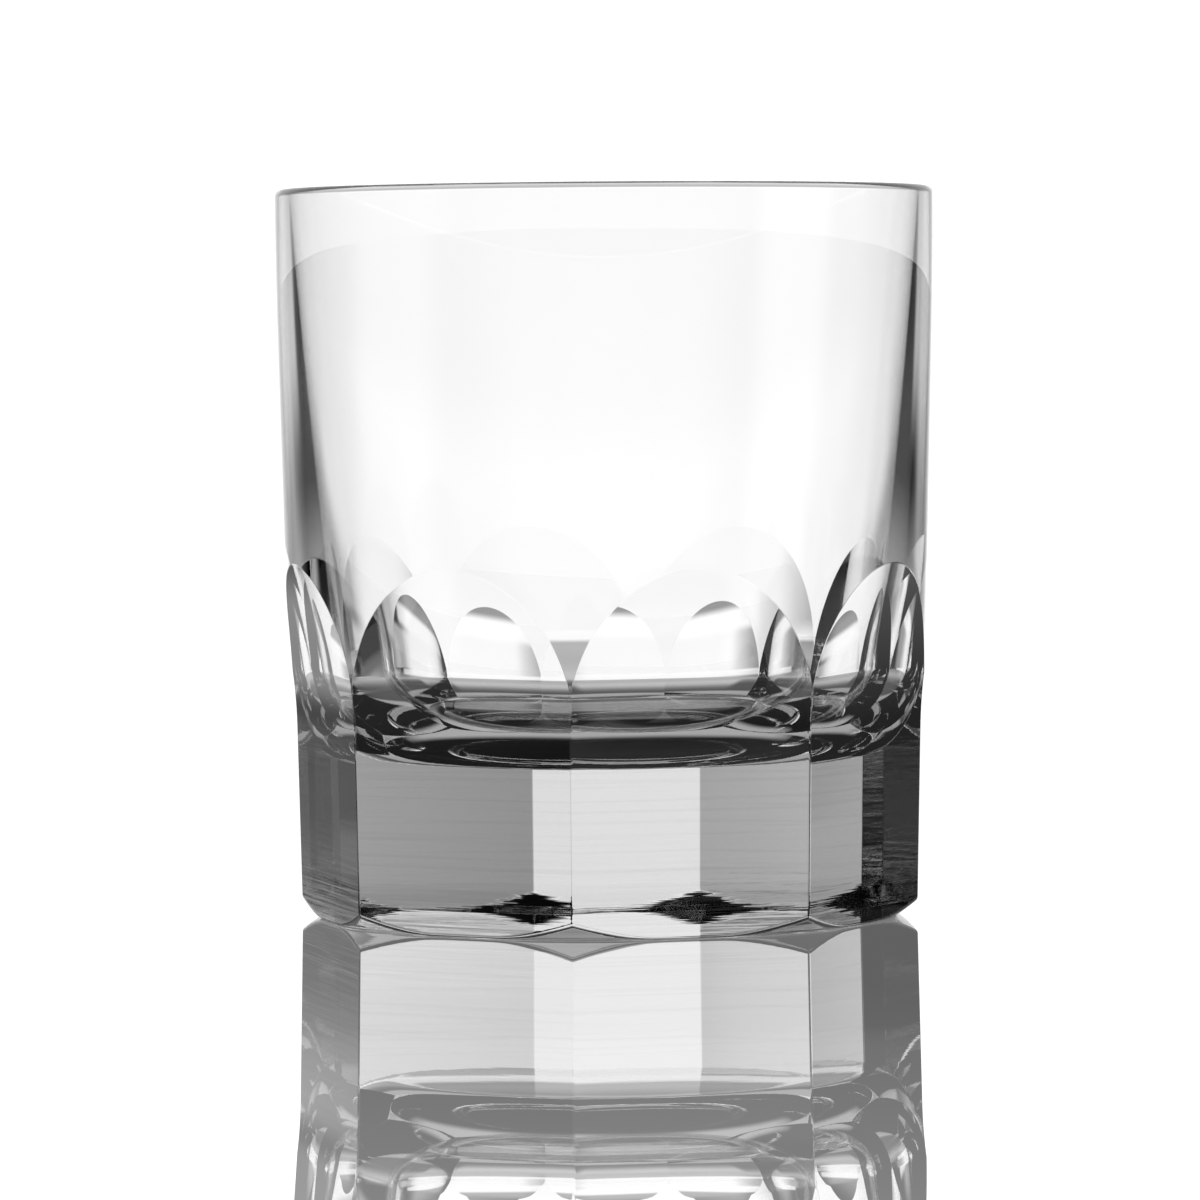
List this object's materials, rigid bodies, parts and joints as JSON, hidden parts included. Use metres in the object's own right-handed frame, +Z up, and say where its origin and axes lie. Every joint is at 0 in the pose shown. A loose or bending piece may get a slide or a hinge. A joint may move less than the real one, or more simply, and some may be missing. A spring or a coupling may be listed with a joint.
{
  "type": "whiskey tumbler",
  "caption": "Short round glass tumbler with a thick faceted base, arched flat cuts round its lower half and an open cup for drinks.",
  "frame": {"origin": "middle of the flat underside, on the surface the tumbler stands on", "axes": "+Z up along the axis of the cup; the middles of four of the eight facets face +X, +Y, -X and -Y"},
  "size_m": [0.0812, 0.0812, 0.09],
  "materials": {
    "clear_crystal": "clear polished crystal glass, fine polishing lines on the facets"
  },
  "bodies": {
    "root": {"tumbler": "clear_crystal"}
  },
  "joints": []
}
